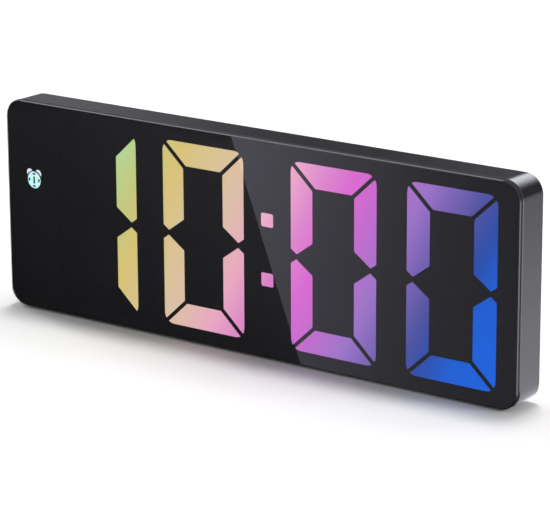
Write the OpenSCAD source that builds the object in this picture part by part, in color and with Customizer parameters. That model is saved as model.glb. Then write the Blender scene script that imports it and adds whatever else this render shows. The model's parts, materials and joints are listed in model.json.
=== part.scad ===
// Slim digital desk clock with a large colour display and a rear battery housing.
// X runs to the right as seen from the front, Y runs backwards from the front glass, Z is up.
// The origin is at the middle of the footprint, on the surface that the clock stands on.

/* [Body] */
// Width of the clock
body_w = 162; // [135:1:189]
// Height of the front glass and the frame
body_h = 57.2; // [47.6:0.4:66.8]
// Depth of the slab, from the front glass to the back of the frame
slab_d = 10.5; // [10.4:0.1:14]
// Radius of the four corners
corner_r = 5; // [4:0.5:7]
// Wall of the front frame
wall_t = 2; // [1.6:0.1:2.4]
// Chamfer along both edges of the front frame
frame_chamfer = 0.3; // [0.1:0.05:0.5]
// How far a corner boss, which takes a case screw, runs into the frame's walls
boss_bite = 0.35; // [0.2:0.05:0.6]

/* [Front glass and films] */
// Thickness of the front glass
lens_t = 0.8; // [0.6:0.1:1.5]
// Polished bevel along the front edge of the glass
lens_chamfer = 0.25; // [0.1:0.05:0.4]
// Thickness of the black printed mask
mask_t = 0.2; // [0.1:0.05:0.4]
// Thickness of the colour film and of the tape round it
film_t = 0.2; // [0.1:0.05:0.4]
// How far the mask stays back from the edge of the glass
mask_margin = 0.05; // [0.05:0.05:0.2]
// How far the tape stays back from the edge of the glass
tape_setback = 0.8; // [0.5:0.1:1.2]
// Width of the tape
tape_w = 2.6; // [2:0.1:3]
// Gap between the tape and the colour film
film_gap = 0.1; // [0.05:0.05:0.3]

/* [Digits] */
// Distance of the first digit from the left side of the clock
display_left = 18.09; // [17.6:0.1:22]
// Distance of the last digit from the right side of the clock
display_right = 6.49; // [5:0.1:8]
// Gap between the two digits of a pair
pair_gap = 8.84; // [6:0.2:10]
// Gap between the two digits beside the colon
colon_gap = 14.7; // [10:0.2:18]
// Distance of the digits from the top and the bottom of the clock, the mean of the two
digit_margin = 3.88; // [3.8:0.1:6]
// Width of the upright segments
upright_w = 6.85; // [5:0.2:7]
// Height of the level segments
level_h = 6.3; // [5:0.2:7]
// Gap between two segments
segment_gap = 1; // [0.8:0.1:1.4]
// Radius of a digit's outer corners
digit_r = 3; // [1:0.5:4]
// How far the pointed ends lie in from the digit's outer edge
tip_inset = 1.85; // [1.4:0.1:2.2]
// Rise of a pointed end above the middle of the digit
tip_rise = 0.6; // [0.4:0.1:0.9]
// Rise of the small bevel outside a pointed end
tip_bevel = 1.3; // [0.8:0.1:1.8]
// Place of the digits above the middle of the clock
display_z = -0.25; // [-0.4:0.05:0.2]

/* [Colon and alarm sign] */
// Width of a colon dot
dot_w = 3.95; // [3:0.2:5]
// Height of a colon dot
dot_h = 3.65; // [3:0.2:5]
// Corner radius of a colon dot
dot_r = 0.6; // [0.2:0.1:1]
// Distance between the two dots
dot_spacing = 15.7; // [12:0.5:20]
// How far the colon's middle lies above the middle of the digits
colon_rise = 0.25; // [0:0.05:0.5]
// Diameter of the alarm sign's dial
dial_d = 4.65; // [4:0.2:5.4]
// Diameter of a bell's disc, of which the dial hides the lower part
bell_d = 2.3; // [2:0.1:2.8]
// Distance of a bell's middle from the middle of the dial
bell_r = 2.35; // [2.2:0.05:2.7]
// Gap between the dial and the bells
bell_gap = 0.25; // [0.15:0.05:0.3]
// Angle of a bell's middle, measured from upright
bell_tilt = 38; // [34:1:44]
// Width of the printed marks and of the hand on the dial
mark_w = 0.45; // [0.3:0.05:0.6]
// Length of a printed mark
mark_l = 0.8; // [0.5:0.1:1]
// Length of the printed hand
hand_l = 1.9; // [1.4:0.1:2.2]
// Distance of a mark's middle from the middle of the dial
mark_r = 1.68; // [1.5:0.05:1.9]
// Distance of the alarm sign from the left side of the clock
sign_inset = 8.95; // [8.4:0.1:12]
// Place of the alarm sign above the middle of the clock
sign_z = 7.05; // [-6:0.5:12]

/* [Display module] */
// Thickness of the reflector block
reflector_t = 4; // [3.6:0.1:4.4]
// Gap between the reflector block and the frame
module_gap = 0.15; // [0.1:0.05:0.3]
// Thickness of the light guides in the reflector's cells
guide_t = 3; // [2:0.1:3.2]
// Thickness of the circuit board
board_t = 1.2; // [1:0.1:1.6]
// Gap between the circuit board and the frame
board_gap = 0.3; // [0.2:0.05:0.5]
// Length of an LED chip
led_l = 2; // [1.6:0.2:2.4]
// Width of an LED chip
led_w = 1.2; // [0.8:0.1:1.4]
// Height of an LED chip
led_t = 0.6; // [0.4:0.05:0.7]

/* [Board parts] */
// Side of the clock chip
chip_w = 9; // [6:0.5:9.5]
// Height of the chips above the board
chip_t = 1.4; // [1:0.1:1.8]
// Length of the LED driver chip
driver_l = 10.3; // [8:0.1:12]
// Width of the LED driver chip's body
driver_w = 6; // [4:0.2:7]
// Width of a chip's legs
leg_w = 0.4; // [0.3:0.05:0.5]
// Reach of a chip's legs beyond its body
leg_l = 1; // [0.6:0.1:1.2]
// Thickness of a chip's legs
leg_t = 0.3; // [0.2:0.05:0.4]
// Gap between two legs
leg_gap = 0.6; // [0.4:0.05:0.9]
// Diameter of the crystal's can
crystal_d = 2; // [1.5:0.1:3]
// Length of the crystal's can
crystal_l = 6; // [5:0.5:8]
// Diameter of the supply capacitor
capacitor_d = 5; // [4:0.5:6.3]
// Height of the supply capacitor
capacitor_h = 7; // [5:0.5:9]
// Length of a small chip resistor or capacitor
passive_l = 1.6; // [1:0.2:2]
// Width of a small chip resistor or capacitor
passive_w = 0.8; // [0.5:0.1:1]
// Height of a small chip resistor or capacitor
passive_t = 0.5; // [0.3:0.05:0.6]
// Gap between two small chip resistors or capacitors
passive_gap = 2.2; // [1:0.2:3]

/* [Rear housing] */
// Thickness of the rear cover's plate
cover_t = 1.6; // [1.4:0.1:1.8]
// Gap between the rear cover and the frame
cover_gap = 0.15; // [0.1:0.05:0.3]
// Width of the battery housing
hump_w = 108; // [106:1:116]
// Share of the height beside the battery bay that the strip of buttons above the housing takes
strip_share = 0.768; // [0.7:0.001:0.8]
// Share of that height that lies inside the housing, below the battery bay
under_bay_share = 0.142; // [0.12:0.001:0.15]
// Depth of the battery housing behind the slab
hump_d = 10.5; // [9.8:0.1:12]
// Corner radius of the battery housing
hump_r = 4; // [3:0.5:5]
// Chamfer along the back edge of the battery housing
hump_chamfer = 0.9; // [0.4:0.1:1.2]
// Wall of the battery housing
hump_wall = 1.6; // [1.4:0.1:1.8]
// Thickness of the battery housing's floor
hump_floor_t = 2.8; // [2.6:0.1:3.2]
// Height of the sill that joins the floor to the cover's plate
sill_h = 4.4; // [4.2:0.1:4.6]
// Height of a foot pad's part that stands proud
foot_proud = 0.4; // [0.2:0.1:0.8]
// Depth of the recess that a foot pad sits in
foot_recess = 0.6; // [0.4:0.1:1]
// Length of a foot pad
foot_l = 12; // [8:1:16]
// Width of a foot pad
foot_w = 5; // [4:0.5:5.5]
// Distance of the front foot pads from the ends of the clock
front_foot_inset = 20; // [16:1:26]
// Distance of the rear foot pads from the ends of the battery housing
rear_foot_inset = 12; // [10:1:16]

/* [Battery bay] */
// Diameter of a cell
cell_d = 10.5; // [10.3:0.1:10.5]
// Length of a cell over its button
cell_l = 44.5; // [43.5:0.1:44.5]
// Diameter of a cell's button
button_pole_d = 3.8; // [3:0.2:4.4]
// Height of a cell's button
button_pole_h = 0.8; // [0.6:0.1:1]
// Gap between two cells
cell_gap = 0.5; // [0.3:0.1:0.9]
// Space between a cell and the door or the bay's floor
cell_clearance = 0.2; // [0.1:0.05:0.3]
// Wall of the battery bay
bay_wall = 1.4; // [1.2:0.1:1.6]
// Height of the ribs between the cells
rib_h = 1.6; // [1:0.1:2]
// Thickness of the ribs between the cells
rib_t = 0.8; // [0.6:0.1:1]
// Length of a contact spring
spring_l = 3.4; // [3:0.1:4]
// Diameter of a contact spring at the middle of its wire
spring_d = 5.6; // [5:0.2:6.6]
// Wire of a contact spring
spring_wire = 0.5; // [0.4:0.05:0.6]
// Turns of a contact spring
spring_turns = 2.5; // [2:0.5:3]
// Thickness of a contact plate
plate_t = 0.4; // [0.3:0.05:0.5]
// Side of a contact plate
plate_w = 8.4; // [7:0.2:9]
// Width of a contact plate's solder tab
tab_w = 2; // [1.6:0.1:2.6]
// Reach of a solder tab outside the bay
tab_l = 1.6; // [1.2:0.1:2]
// Diameter of the battery leads
lead_d = 1.1; // [0.8:0.1:1.2]
// Radius of the bend in a battery lead
lead_bend_r = 2.2; // [1.8:0.1:2.4]

/* [Battery door] */
// Thickness of the battery door
door_t = 1.6; // [1.4:0.1:1.8]
// Width of the ledge that the door rests on
door_ledge = 0.7; // [0.5:0.1:0.8]
// Gap between the door and its opening
door_gap = 0.25; // [0.2:0.05:0.35]
// Width of a door tab
tongue_w = 6; // [5:0.5:8]
// Thickness of a door tab
tongue_t = 0.9; // [0.8:0.05:1]
// Reach of a door tab under the wall
tongue_reach = 1.4; // [1.2:0.1:1.6]
// Gap between a door tab and the wall that it reaches under
tongue_gap = 0.2; // [0.15:0.05:0.25]
// Place of a door tab to either side of the door's middle
tongue_x = 16; // [12:1:20]
// Width of the latch tongue in the door
latch_w = 10; // [8:0.5:14]
// Length of the latch tongue
latch_l = 7; // [6:0.5:9]
// Width of the slots beside the latch tongue
latch_slot = 0.8; // [0.6:0.1:1]
// Reach of the latch tongue's nib into the door's gap
latch_nib = 0.15; // [0.1:0.05:0.15]
// Depth of the finger recess in the latch tongue
grip_depth = 0.7; // [0.4:0.1:0.8]
// Width of the finger recess
grip_w = 7; // [5:0.5:7.5]
// Height of the finger recess
grip_h = 3; // [2:0.5:4]

/* [Buttons] */
// Width of a button cap
button_w = 8.5; // [7:0.5:11]
// Height of a button cap, as a share of the strip that it lies in
button_share = 0.397; // [0.34:0.001:0.46]
// Corner radius of a button cap
button_r = 1.6; // [1:0.1:2]
// Chamfer round a button cap
button_chamfer = 0.3; // [0.1:0.05:0.5]
// How far a button cap stands out of the cover
button_proud = 1.2; // [0.8:0.1:1.6]
// Place of the inner two buttons, as a share of half the clock's width
inner_button_share = 0.16; // [0.14:0.01:0.2]
// Place of the outer two buttons, as a share of half the clock's width
outer_button_share = 0.48; // [0.42:0.01:0.5]
// Gap round a button cap
button_gap = 0.1; // [0.08:0.01:0.15]
// How far the collar inside reaches beyond the cap
collar_reach = 0.7; // [0.5:0.1:0.8]
// Thickness of the collar
collar_t = 0.7; // [0.5:0.05:0.8]
// Travel of a button
button_travel = 0.35; // [0.25:0.05:0.4]
// Width of a tact switch body
tact_w = 6; // [4.5:0.5:6.5]
// Height of a tact switch body, as a share of the strip that it lies in
tact_share = 0.517; // [0.4:0.001:0.6]
// Thickness of the floor under a tact switch's plunger
tact_floor = 0.4; // [0.3:0.05:0.5]
// Diameter of a tact switch's plunger, as a share of the body's height
plunger_share = 0.5; // [0.4:0.05:0.6]
// Gap round a sliding plunger
plunger_gap = 0.05; // [0.03:0.01:0.08]
// Space that stays beyond the end of a travel
end_space = 0.2; // [0.1:0.05:0.25]

/* [Sound switch] */
// Width of the switch's knob
knob_w = 2.6; // [2:0.2:3.2]
// Height of the switch's knob
knob_h = 2; // [1.6:0.2:2.6]
// How far the knob stands out of the cover
knob_proud = 0.6; // [0.4:0.1:1.2]
// Travel of the knob
knob_travel = 2; // [1.5:0.1:2.5]
// Gap round the knob in its slot
knob_gap = 0.15; // [0.1:0.05:0.25]
// Length of the switch's body
switch_l = 8.6; // [8:0.2:10]
// Width of the switch's body
switch_w = 3.6; // [3.4:0.2:4.6]
// Place of the switch on the right, as a share of half the clock's width
switch_share = 0.74; // [0.7:0.01:0.8]

/* [Sound] */
// Diameter of the buzzer
buzzer_d = 11; // [9:0.5:11.5]
// Height of the buzzer
buzzer_h = 5.4; // [4:0.2:7]
// Gap between the buzzer and the clock chip's legs above it
buzzer_gap = 0.7; // [0.5:0.1:1.5]
// Diameter of the sound holes
sound_hole_d = 1.5; // [1:0.1:2]
// Radius of the ring of sound holes
sound_ring_r = 3.6; // [3:0.2:4.6]
// Number of sound holes in the ring
sound_holes = 6; // [5:1:8]
// Diameter of the microphone
mic_d = 4; // [3:0.2:6]
// Diameter of the microphone's hole in the cover
mic_hole_d = 1.2; // [0.8:0.1:1.6]
// Place of the microphone on the left, as a share of half the clock's width
mic_share = 0.74; // [0.7:0.01:0.8]

/* [USB inlet] */
// Width of the inlet's steel shell
usb_w = 8.94; // [8:0.02:9]
// Height of the inlet's steel shell
usb_h = 3.26; // [3.2:0.02:3.6]
// Wall of the inlet's steel shell
usb_wall = 0.3; // [0.2:0.05:0.35]
// Width of the contact tongue
usb_tongue_w = 6.7; // [6:0.1:7]
// Thickness of the contact tongue
usb_tongue_t = 0.7; // [0.6:0.05:0.8]
// Height of the plastic base inside the shell
usb_base_t = 3; // [2:0.2:4]
// Distance of the tongue's end from the shell's mouth
usb_tongue_drop = 0.8; // [0.5:0.1:1.2]
// Depth of the inlet below the middle of the battery bay
usb_drop = 8.6; // [7:0.2:10]
// Width of the pocket round the inlet
pocket_w = 13; // [12:0.5:14]
// Height of the pocket round the inlet
pocket_h = 8; // [7.4:0.2:9]
// Corner radius of the pocket
pocket_r = 2; // [1:0.25:3]
// Depth of the pocket
pocket_d = 4.6; // [4.2:0.1:5]
// Wall of the pocket
pocket_wall = 1.2; // [1:0.1:1.4]
// Gap round the inlet's shell in the pocket's floor
usb_gap = 0.15; // [0.1:0.05:0.3]

/* [Fasteners] */
// Diameter of a case screw's shank
case_screw_d = 2; // [1.6:0.1:2.2]
// Diameter of a case screw's head
case_head_d = 3.8; // [3.4:0.1:4]
// Height of a case screw's head
case_head_t = 0.7; // [0.5:0.05:0.8]
// Diameter of a board screw's shank
board_screw_d = 1.6; // [1.2:0.1:1.8]
// Diameter of a board screw's head
board_head_d = 3; // [2.6:0.1:3.4]
// Height of a board screw's head
board_head_t = 1; // [0.8:0.1:1.2]
// Depth to which a board screw bites
board_bite = 2.6; // [2:0.1:2.8]
// Gap round a screw's shank
shank_gap = 0.05; // [0.03:0.01:0.1]
// Gap round a screw's head in its recess
head_gap = 0.15; // [0.1:0.05:0.25]
// Rim of the cover's plate that stays between a case screw's recess and the round corner
corner_rim = 0.3; // [0.2:0.05:0.5]
// Width of the cross in a screw's head
cross_w = 0.5; // [0.4:0.05:0.6]
// Depth of the cross in a screw's head
cross_depth = 0.35; // [0.2:0.05:0.4]
// Depth of the upper board screws below the top of the battery housing
upper_screw_drop = 1; // [0:0.2:2]
// Height of the lower board screws above the frame's inside
lower_screw_rise = 5.6; // [4.6:0.2:6.6]

/* [Hidden] */
$fn = 48;

// One overrun for every cut
cut = 0.5;
// The largest radius of a round corner, as a share of its piece's shorter side
corner_share = 0.4;

// Depths from the front of the glass
film_y = lens_t + mask_t;
frame_y = film_y + film_t;
board_y = frame_y + reflector_t;
board_back_y = board_y + board_t;
cover_y = slab_d - cover_t;
total_d = slab_d + hump_d;
hump_back_y = total_d - hump_wall;

// Inside of the frame
inner_w = body_w - 2 * wall_t;
inner_h = body_h - 2 * wall_t;
inner_r = corner_r - wall_t;

// Bosses of the case screws: each lies on its corner's diagonal, as far out as the screw's head can
boss_shift = (inner_r - cover_gap - corner_rim - case_head_d / 2 - head_gap) * sqrt(1 / 2);
boss_x = inner_w / 2 - inner_r + boss_shift;
boss_z = inner_h / 2 - inner_r + boss_shift;
boss_d = 2 * (inner_r - boss_shift + boss_bite);

// The digits share the width that their margins and gaps leave
digit_w = (body_w - display_left - display_right - 2 * pair_gap - colon_gap) / 4;
digit_h = body_h - 2 * digit_margin;
display_x = (display_left - display_right) / 2;
inner_digit_x = (colon_gap + digit_w) / 2;
outer_digit_x = inner_digit_x + digit_w + pair_gap;
digit_x = [
    display_x - outer_digit_x, display_x - inner_digit_x,
    display_x + inner_digit_x, display_x + outer_digit_x
];

// Segments of a digit by their letters, and those that are lit or dark at 10:00
SEGMENTS = "abcdefg";
LIT_SEGMENTS = ["bc", "abcdef", "abcdef", "abcdef"];
DARK_SEGMENTS = ["adefg", "g", "g", "g"];
half_w = digit_w / 2;
half_h = digit_h / 2;
upright_x = half_w - upright_w;
level_z = half_h - level_h;
mitre = segment_gap * sqrt(1 / 2);
tip_x = half_w - tip_inset;
shoulder_z = level_h / 2 + segment_gap;
tip_slope = (shoulder_z - tip_rise) / (tip_x - upright_x);
bar_drop = segment_gap * sqrt(1 + tip_slope * tip_slope);
bar_tip_x = upright_x + (shoulder_z - bar_drop) / tip_slope;
bar_shoulder_x = bar_tip_x - level_h / 2 / tip_slope;
sign_x = sign_inset - body_w / 2;

// Battery bay: three cells in series lie one above the other
cell_step = cell_d + cell_gap;
bay_l = cell_l + spring_l + 2 * plate_t;
bay_h = 2 * cell_step + cell_d + 2 * cell_clearance;
bay_y = total_d - door_t - 2 * cell_clearance - cell_d;
cell_y = bay_y + cell_clearance + cell_d / 2;
rib_l = cell_l / 4;

// What the bay, the housing and the frame's top wall leave of the height is shared out
spare_h = body_h - wall_t - hump_wall - hump_floor_t - bay_h - 2 * bay_wall;
strip_h = strip_share * spare_h;
hump_h = body_h - wall_t - strip_h;
hump_z = (hump_h - body_h) / 2;
hump_top_z = hump_h - body_h / 2;
cavity_r = hump_r - hump_wall;
bay_z = hump_floor_t + under_bay_share * spare_h + bay_wall + bay_h / 2 - body_h / 2;

// Places of the board screws between the digits
board_screw_x = [
    sign_x + dial_d / 2 + bell_gap, (digit_x[0] + digit_x[1]) / 2, (digit_x[2] + digit_x[3]) / 2
];
board_screw_z = [lower_screw_rise - inner_h / 2, hump_top_z - upper_screw_drop];

// Buttons and switches behind the board, along the middle of their strip
button_rise = hump_top_z + strip_h / 2;
button_shares = [-outer_button_share, -inner_button_share, inner_button_share, outer_button_share];
button_x = [for (share = button_shares) share * body_w / 2];
button_h = button_share * strip_h;
button_corner_r = min(button_r, corner_share * button_h);
tact_h = tact_share * strip_h;
plunger_d = plunger_share * tact_h;
mic_x = mic_share * body_w / 2;
collar_back_y = cover_y - button_gap;
collar_y = collar_back_y - collar_t;
tact_t = collar_y - button_travel - end_space - board_back_y;
plunger_y = board_back_y + tact_floor + button_travel + end_space / 2;

// Sound switch: the knob's foot slides in a groove of the switch's body
switch_x = switch_share * body_w / 2;
switch_t = cover_y - end_space - board_back_y;
knob_y = board_back_y + switch_t / 2;
groove_w = knob_h + 2 * knob_gap;
slot_l = knob_w + knob_travel + 2 * knob_gap;

// Battery door
door_w = bay_l + 2 * door_ledge - 2 * door_gap;
door_h = bay_h + 2 * door_ledge - 2 * door_gap;
tongue_back = door_t + tongue_gap + tongue_t;
tongue_swing = sqrt(tongue_back * tongue_back + tongue_reach * tongue_reach);

// The chips, the buzzer and the inlet lie in the middle of the two spaces beside the bay
side_x = (bay_l / 2 + bay_wall + hump_w / 2 - hump_wall) / 2;
chip_z = bay_z + cell_step / 2;
buzzer_z = chip_z - chip_w / 2 - leg_l - buzzer_gap - buzzer_d / 2;
usb_z = bay_z - usb_drop;
PASSIVES_IN_ROW = 5;
tab_y = bay_y + cell_d / 2;
pocket_y = total_d - pocket_d;
usb_y = pocket_y - pocket_wall / 3;

// A place in the clock's frame, from the middle of the front glass
module clock_frame()
    translate([0, -total_d / 2, foot_proud + body_h / 2]) children();

// Extrudes an outline of x and z from one depth to another
module layer(y0, y1)
    translate([0, y1, 0]) rotate([90, 0, 0]) linear_extrude(y1 - y0) children();

// A rod along the depth
module rod(x, z, d, y0, y1)
    translate([x, y1, z]) rotate([90, 0, 0]) cylinder(d = d, h = y1 - y0);

// A block given by its middle in x and z and by its two depths
module block(x, z, w, h, y0, y1)
    translate([x - w / 2, y0, z - h / 2]) cube([w, y1 - y0, h]);

// A rectangle with round corners
module round_rect(w, h, r) {
    square([w - 2 * r, h], center = true);
    square([w, h - 2 * r], center = true);
    for (x = [-1, 1], z = [-1, 1])
        translate([x * (w / 2 - r), z * (h / 2 - r)]) circle(r);
}

// Half the section of a slab whose front and back edges have chamfers
function slab_section(r, t, front, back) =
    [[0, 0], [r - back, 0], [r, back], [r, t - front], [r - front, t], [0, t]];

// A slab with round corners, from depth y0 to y1, with chamfers on its front and back edges
module round_slab(w, h, r, y0, y1, front, back)
    translate([0, y1, 0]) rotate([90, 0, 0]) {
        t = y1 - y0;
        for (x = [-1, 1], z = [-1, 1])
            translate([x * (w / 2 - r), z * (h / 2 - r), 0])
                rotate_extrude() polygon(slab_section(r, t, front, back));
        for (side = [0, 180]) {
            rotate([0, 0, side]) translate([0, h / 2 - r, 0]) rotate([90, 0, 90])
                linear_extrude(w - 2 * r, center = true) polygon(slab_section(r, t, front, back));
            rotate([0, 0, side]) translate([w / 2 - r, 0, 0]) rotate([90, 0, 0])
                linear_extrude(h - 2 * r, center = true) polygon(slab_section(r, t, front, back));
        }
        translate([0, 0, t / 2]) cube([w - 2 * r, h - 2 * r, t], center = true);
    }

// Whether a segment is one of those that the letters name
function among(letters, segment) = len(search(segment, letters)) > 0;

// The segments of a digit that lie left and below mirror the first two outlines
top_outline = [
    [-(upright_x - mitre), level_z], [upright_x - mitre, level_z],
    [half_w - mitre, half_h], [-(half_w - mitre), half_h]
];
right_outline = [
    [upright_x, level_z - mitre], [upright_x, shoulder_z], [tip_x, tip_rise],
    [half_w, tip_rise + tip_bevel], [half_w, half_h - mitre]
];
bar_outline = [
    [-bar_tip_x, 0], [-bar_shoulder_x, level_h / 2], [bar_shoulder_x, level_h / 2],
    [bar_tip_x, 0], [bar_shoulder_x, -level_h / 2], [-bar_shoulder_x, -level_h / 2]
];

// The segment with a certain letter as an outline
module segment(letter) {
    if (letter == "g")
        polygon(bar_outline);
    else
        intersection() {
            scale([among("ef", letter) ? -1 : 1, among("cde", letter) ? -1 : 1])
                polygon(among("ad", letter) ? top_outline : right_outline);
            round_rect(digit_w, digit_h, digit_r);
        }
}

// Chosen segments of digit n, where the clock carries them
module digit(n, chosen)
    translate([digit_x[n], display_z])
        for (letter = chosen) segment(letter);

// Both dots of the colon
module colon_dots()
    for (z = [-1, 1])
        translate([display_x, display_z + colon_rise + z * dot_spacing / 2])
            round_rect(dot_w, dot_h, dot_r);

// One bell of the alarm sign, as a crescent beside the dial
module bell(side)
    difference() {
        rotate([0, 0, -side * bell_tilt]) translate([0, bell_r]) circle(d = bell_d);
        circle(dial_d / 2 + bell_gap);
    }

// The dial and the bells of the alarm sign
module alarm_sign()
    translate([sign_x, sign_z]) {
        circle(d = dial_d);
        for (side = [-1, 1]) bell(side);
    }

// The marks and the hand that are printed on the alarm sign's dial
module dial_print()
    translate([sign_x, sign_z]) {
        for (turn = [0:90:270])
            rotate([0, 0, turn]) translate([0, mark_r]) square([mark_l, mark_w], center = true);
        square([mark_w, hand_l], center = true);
    }

// Every cell of the display as an outline
module display_cells() {
    for (n = [0:len(digit_x) - 1]) digit(n, SEGMENTS);
    colon_dots();
    alarm_sign();
}

// A screw whose head's seat is at depth y and whose tip points to the front
module screw(x, z, shank_d, shank_l, head_d, head_t, y)
    difference() {
        union() {
            rod(x, z, shank_d, y - shank_l, y);
            rod(x, z, head_d, y, y + head_t);
        }
        for (turn = [0, 90])
            translate([x, y + head_t - cross_depth, z]) rotate([0, turn, 0])
                block(0, 0, cross_w, head_d - 2 * cross_w, 0, cross_depth + cut);
    }

// The clear sheet at the front, with its polished bevel
module front_lens()
    color([0.13, 0.13, 0.15, 0.5]) clock_frame()
        round_slab(body_w, body_h, corner_r, 0, lens_t, lens_chamfer, 0);

// The black print behind the glass
module display_mask()
    color("black") clock_frame()
        layer(lens_t, film_y) {
            difference() {
                round_rect(body_w - 2 * mask_margin, body_h - 2 * mask_margin, corner_r - mask_margin);
                display_cells();
            }
            dial_print();
        }

// The tape that holds the glass to the frame and to the display
module lens_tape()
    color([0.05, 0.05, 0.05]) clock_frame()
        layer(film_y, frame_y)
            difference() {
                round_rect(body_w - 2 * tape_setback, body_h - 2 * tape_setback, corner_r - tape_setback);
                round_rect(
                    body_w - 2 * (tape_setback + tape_w), body_h - 2 * (tape_setback + tape_w),
                    corner_r - tape_setback - tape_w
                );
            }

// The film that colours the digits
module colour_film() {
    inset = tape_setback + tape_w + film_gap;
    color([0.8, 0.6, 0.8, 0.4]) clock_frame()
        layer(film_y, frame_y)
            round_rect(body_w - 2 * inset, body_h - 2 * inset, corner_r - tape_setback - tape_w);
}

// The light guides of digit n
module digit_guides(n)
    layer(frame_y, frame_y + guide_t) digit(n, LIT_SEGMENTS[n]);

module hours_tens_guides()
    color("palegoldenrod") clock_frame() digit_guides(0);

module hours_units_guides()
    color("burlywood") clock_frame() digit_guides(1);

module minutes_tens_guides()
    color("orchid") clock_frame() digit_guides(2);

module minutes_units_guides()
    color("royalblue") clock_frame() digit_guides(3);

module colon_guides()
    color("plum") clock_frame()
        layer(frame_y, frame_y + guide_t) colon_dots();

module alarm_sign_guide()
    color("paleturquoise") clock_frame()
        layer(frame_y, frame_y + guide_t) alarm_sign();

// The guides of the segments that stay dark
module idle_guides()
    color([0.15, 0.15, 0.16]) clock_frame()
        layer(frame_y, frame_y + guide_t)
            for (n = [0:len(digit_x) - 1]) digit(n, DARK_SEGMENTS[n]);

// The white block with one cell for each segment
module reflector_block()
    color("white") clock_frame()
        difference() {
            layer(frame_y, board_y)
                difference() {
                    round_rect(inner_w - 2 * module_gap, inner_h - 2 * module_gap, inner_r - module_gap);
                    display_cells();
                }
            for (x = board_screw_x, z = board_screw_z)
                rod(x, z, board_screw_d + 2 * shank_gap, board_y - board_bite - end_space, board_y + cut);
        }

// The middle of a segment, from the middle of its digit
function segment_middle(letter) =
    letter == "g" ? [0, 0]
    : among("ad", letter) ? [0, (half_h - level_h / 2) * (letter == "a" ? 1 : -1)]
    : [
        (half_w - upright_w / 2) * (among("ef", letter) ? -1 : 1),
        half_h / 2 * (among("ce", letter) ? -1 : 1)
    ];

// One LED chip on the front of the board
module led(x, z)
    block(x, z, led_l, led_w, board_y - led_t, board_y);

module segment_leds()
    color("lightyellow") clock_frame() {
        for (x = digit_x, letter = SEGMENTS)
            led(x + segment_middle(letter)[0], display_z + segment_middle(letter)[1]);
        for (z = [-1, 1]) led(display_x, display_z + colon_rise + z * dot_spacing / 2);
        led(sign_x, sign_z);
    }

// The circuit board behind the reflector block
module main_board()
    color("darkgreen") clock_frame()
        difference() {
            layer(board_y, board_back_y)
                round_rect(inner_w - 2 * board_gap, inner_h - 2 * board_gap, inner_r - board_gap);
            for (x = board_screw_x, z = board_screw_z)
                rod(x, z, board_screw_d + 2 * shank_gap, board_y - cut, board_back_y + cut);
        }

// The places of the four foot pads under the body
module foot_places()
    for (side = [-1, 1]) {
        translate([side * (body_w / 2 - front_foot_inset), slab_d / 2]) children();
        translate([side * (hump_w / 2 - rear_foot_inset), slab_d + hump_d / 2]) children();
    }

// The recesses of the foot pads
module foot_recesses()
    translate([0, 0, -body_h / 2 - cut])
        linear_extrude(foot_recess + cut) foot_places() square([foot_l, foot_w], center = true);

// The ring that makes the clock's sides, with a boss for each case screw
module front_frame()
    color([0.16, 0.16, 0.17]) clock_frame()
        difference() {
            union() {
                difference() {
                    round_slab(body_w, body_h, corner_r, frame_y, slab_d, frame_chamfer, frame_chamfer);
                    layer(frame_y - cut, slab_d + cut) round_rect(inner_w, inner_h, inner_r);
                }
                for (x = [-1, 1], z = [-1, 1])
                    rod(x * boss_x, z * boss_z, boss_d, board_back_y, cover_y);
            }
            for (x = [-1, 1], z = [-1, 1])
                rod(
                    x * boss_x, z * boss_z, case_screw_d + 2 * shank_gap,
                    board_back_y + end_space, cover_y + cut
                );
            foot_recesses();
        }

// A chip with rows of legs along its two long sides
module chip(x, z, w, h)
    translate([x, board_back_y, z]) {
        block(0, 0, w, h, leg_t, chip_t);
        leg_step = leg_w + leg_gap;
        legs = floor((w - leg_w) / leg_step);
        for (i = [0:legs], side = [-1, 1])
            block(
                (i - legs / 2) * leg_step, side * (h / 2 + leg_l / 2 - leg_t / 2), leg_w, leg_l + leg_t,
                0, leg_t
            );
    }

module clock_chip()
    color([0.1, 0.1, 0.1]) clock_frame() chip(side_x, chip_z, chip_w, chip_w);

module led_driver_chip()
    color([0.12, 0.12, 0.12]) clock_frame() chip(-side_x, chip_z, driver_l, driver_w);

// The crystal's can lies on the board, above the clock chip
module quartz_crystal()
    color("silver") clock_frame()
        translate([
            side_x - crystal_l / 2, board_back_y + crystal_d / 2,
            chip_z + chip_w / 2 + leg_l + crystal_d
        ])
            rotate([0, 90, 0]) cylinder(d = crystal_d, h = crystal_l);

// The capacitor stands on the board, above the driver chip
module supply_capacitor()
    color([0.2, 0.22, 0.3]) clock_frame()
        rod(
            -side_x, chip_z + driver_w / 2 + leg_l + capacitor_d * 3 / 4, capacitor_d,
            board_back_y, board_back_y + capacitor_h
        );

// Two rows of small parts, one beyond each end of the battery housing
module chip_passives()
    color("tan") clock_frame()
        for (side = [-1, 1], i = [0:PASSIVES_IN_ROW - 1])
            block(
                side * (hump_w / 2 + capacitor_d),
                (i - (PASSIVES_IN_ROW - 1) / 2) * (passive_w + passive_gap), passive_l, passive_w,
                board_back_y, board_back_y + passive_t
            );

module buzzer()
    color([0.08, 0.08, 0.08]) clock_frame()
        difference() {
            rod(side_x, buzzer_z, buzzer_d, board_back_y, board_back_y + buzzer_h);
            rod(
                side_x, buzzer_z, sound_hole_d,
                board_back_y + buzzer_h - sound_hole_d, board_back_y + buzzer_h + cut
            );
        }

module microphone()
    color("silver") clock_frame()
        rod(-mic_x, button_rise, mic_d, board_back_y, cover_y - end_space);

// The outline of the inlet's shell, grown by a margin
module usb_outline(grow)
    round_rect(usb_w + 2 * grow, usb_h + 2 * grow, usb_h / 2 + grow - usb_wall / 2);

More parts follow.
